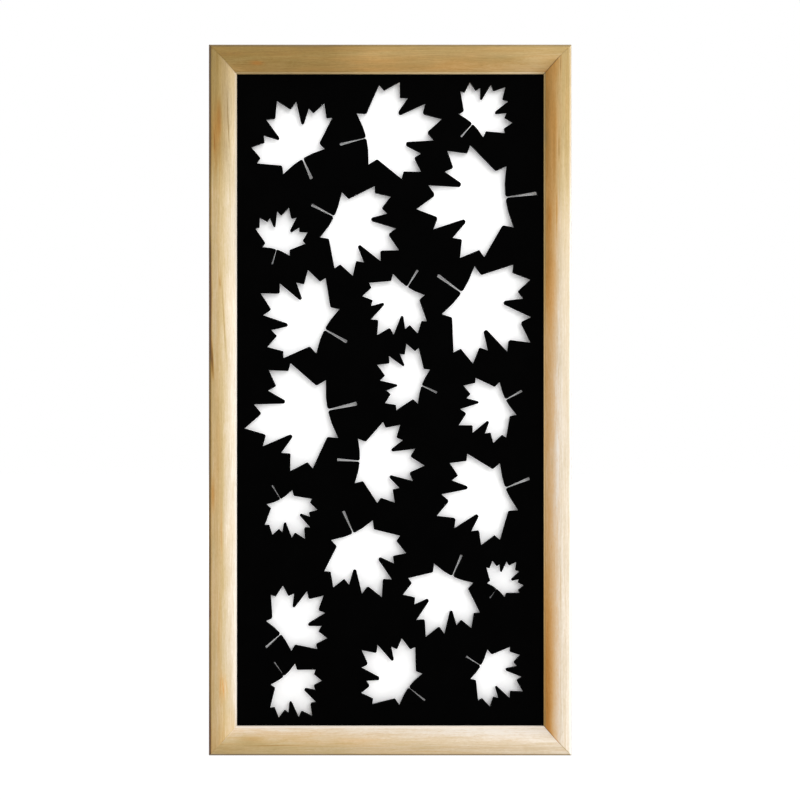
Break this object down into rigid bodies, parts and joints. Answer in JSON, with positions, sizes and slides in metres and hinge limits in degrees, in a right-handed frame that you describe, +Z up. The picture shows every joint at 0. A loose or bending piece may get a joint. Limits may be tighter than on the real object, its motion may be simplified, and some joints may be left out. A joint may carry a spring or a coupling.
{
  "type": "decorative screen panel",
  "caption": "Tall framed screen: a flat black sheet pierced with leaf-shaped openings, held in a bevelled, mitred wooden frame with keyhole hangers at the back.",
  "frame": {"origin": "under the middle of the frame's bottom edge, midway between its front and its back", "axes": "+Z up along the long side, +X to the right seen from the front, +Y from the front to the back"},
  "size_m": [0.636, 0.038, 1.246],
  "materials": {
    "left_stile": "clear satin",
    "top_rail": "clear satin",
    "right_stile": "clear satin",
    "bottom_rail": "clear satin",
    "black_sheet": "matte",
    "strip_wood": "unfinished",
    "dowel_wood": "unfinished",
    "brad_steel": "bright",
    "hanger_steel": "zinc plated",
    "screw_steel": "zinc plated"
  },
  "bodies": {
    "root": {"left_stile": "left_stile", "top_rail": "top_rail", "right_stile": "right_stile", "bottom_rail": "bottom_rail", "leaf_panel": "black_sheet", "left_stop": "strip_wood", "top_stop": "strip_wood", "right_stop": "strip_wood", "bottom_stop": "strip_wood", "top_left_dowels": "dowel_wood", "top_right_dowels": "dowel_wood", "bottom_left_dowels": "dowel_wood", "bottom_right_dowels": "dowel_wood", "left_stop_brads": "brad_steel", "top_stop_brads": "brad_steel", "right_stop_brads": "brad_steel", "bottom_stop_brads": "brad_steel", "left_hanger": "hanger_steel", "right_hanger": "hanger_steel", "left_hanger_screws": "screw_steel", "right_hanger_screws": "screw_steel"}
  },
  "joints": []
}
